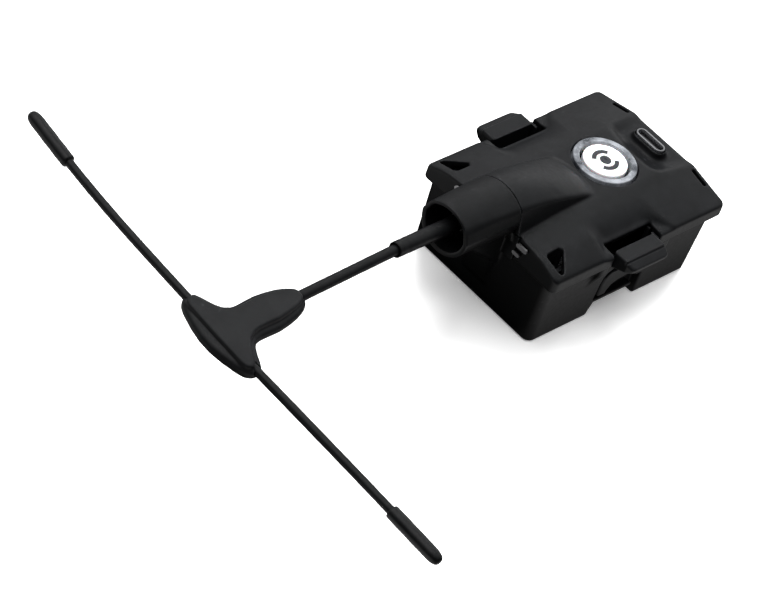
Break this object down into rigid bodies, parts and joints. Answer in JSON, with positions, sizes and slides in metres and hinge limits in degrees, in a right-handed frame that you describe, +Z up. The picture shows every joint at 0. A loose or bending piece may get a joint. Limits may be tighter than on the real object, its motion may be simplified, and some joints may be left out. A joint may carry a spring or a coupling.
{
  "type": "plug-in radio transmitter module",
  "caption": "Plug-in radio transmitter module: black snap-in case with squeeze latches, lit push button, data port and a straight-stem tee dipole antenna.",
  "frame": {"origin": "centre of the base shell's flat underside", "axes": "+X from the antenna nose to the data-port end, +Y to the far long side, +Z up out of the top cover"},
  "size_m": [0.157, 0.147, 0.0365],
  "materials": {
    "shell_plastic": "fine matt texture",
    "cover_plastic": "satin texture",
    "light_ring": "frosted clear",
    "button_white": "smooth satin",
    "mark_dark": "satin",
    "part_black": "matt",
    "plunger_cream": "matt",
    "port_steel": "bright plated",
    "shield_steel": "tin plated",
    "screw_steel": "zinc plated",
    "spreader_aluminium": "anodised",
    "board_black": "solder mask",
    "lead_brown": "smooth",
    "led_cream": "clear dome",
    "gold_brass": "gold plated",
    "sleeve_rubber": "heat-shrink satin",
    "cable_jacket": "smooth satin",
    "tee_rubber": "moulded satin",
    "tip_rubber": "matt",
    "plating_black": "black plated"
  },
  "bodies": {
    "module": {"base_shell": "shell_plastic", "top_cover": "cover_plastic", "light_ring": "light_ring", "key_switch_body": "part_black", "status_led_1": "led_cream", "status_led_2": "led_cream", "status_led_3": "led_cream", "status_led_4": "led_cream", "data_port_shell": "port_steel", "data_port_tongue": "part_black", "upper_board": "board_black", "main_board": "board_black", "rf_shield_can": "shield_steel", "heat_spreader": "spreader_aluminium", "processor_chip": "part_black", "voltage_regulator": "part_black", "rear_socket_housing": "part_black", "rear_socket_contact_1": "gold_brass", "rear_socket_contact_2": "gold_brass", "rear_socket_contact_3": "gold_brass", "rear_socket_contact_4": "gold_brass", "rear_socket_contact_5": "gold_brass", "cover_screw_1": "screw_steel", "cover_screw_2": "screw_steel", "cover_screw_3": "screw_steel", "cover_screw_4": "screw_steel", "nose_pin_near_1": "screw_steel", "nose_pin_near_2": "screw_steel", "nose_pin_far_1": "screw_steel", "nose_pin_far_2": "screw_steel", "panel_connector_body": "plating_black", "panel_connector_contact": "gold_brass", "panel_connector_washer": "screw_steel", "panel_connector_nut": "plating_black", "internal_coax_lead": "lead_brown", "board_coax_plug": "gold_brass"},
    "latch_near": {"latch_near": "cover_plastic"},
    "latch_far": {"latch_far": "cover_plastic"},
    "button": {"button_cap": "button_white", "button_mark_dot": "mark_dark", "button_mark_arc_far": "mark_dark", "button_mark_arc_near": "mark_dark", "key_switch_plunger": "plunger_cream"},
    "coupling_nut": {"antenna_coupling_nut": "plating_black"},
    "antenna": {"antenna_plug_body": "plating_black", "antenna_plug_pin": "gold_brass", "antenna_sleeve": "sleeve_rubber", "antenna_stem": "cable_jacket", "tee_housing": "tee_rubber", "tee_balun_board": "board_black", "dipole_arm_far": "cable_jacket", "dipole_arm_near": "cable_jacket", "dipole_tip_far": "tip_rubber", "dipole_tip_near": "tip_rubber"}
  },
  "joints": [
    {"name": "button_press", "type": "slide", "parent": "module", "child": "button", "axis": [0, 0, -1], "range_m": [0, 0.0004], "stiffness_N_per_m": 4000, "springref_m": -0.0001},
    {"name": "latch_near_squeeze", "type": "hinge", "parent": "module", "child": "latch_near", "pos_m": [-0.00155, -0.0203, 0.0072], "axis": [-1, 0, 0], "range_deg": [0, 5], "stiffness_Nm_per_rad": 1.1, "springref_deg": -0.57},
    {"name": "latch_far_squeeze", "type": "hinge", "parent": "module", "child": "latch_far", "pos_m": [-0.00155, 0.0203, 0.0072], "axis": [1, 0, 0], "range_deg": [0, 5], "stiffness_Nm_per_rad": 1.1, "springref_deg": -0.57},
    {"name": "antenna_swivel", "type": "hinge", "parent": "module", "child": "antenna", "pos_m": [-0.04, 0, 0.02998], "axis": [1, 0, 0], "range_deg": [-90, 90]},
    {"name": "coupling_nut_spin", "type": "hinge", "parent": "antenna", "child": "coupling_nut", "pos_m": [-0.04, 0, 0.02998], "axis": [1, 0, 0], "continuous": true}
  ]
}
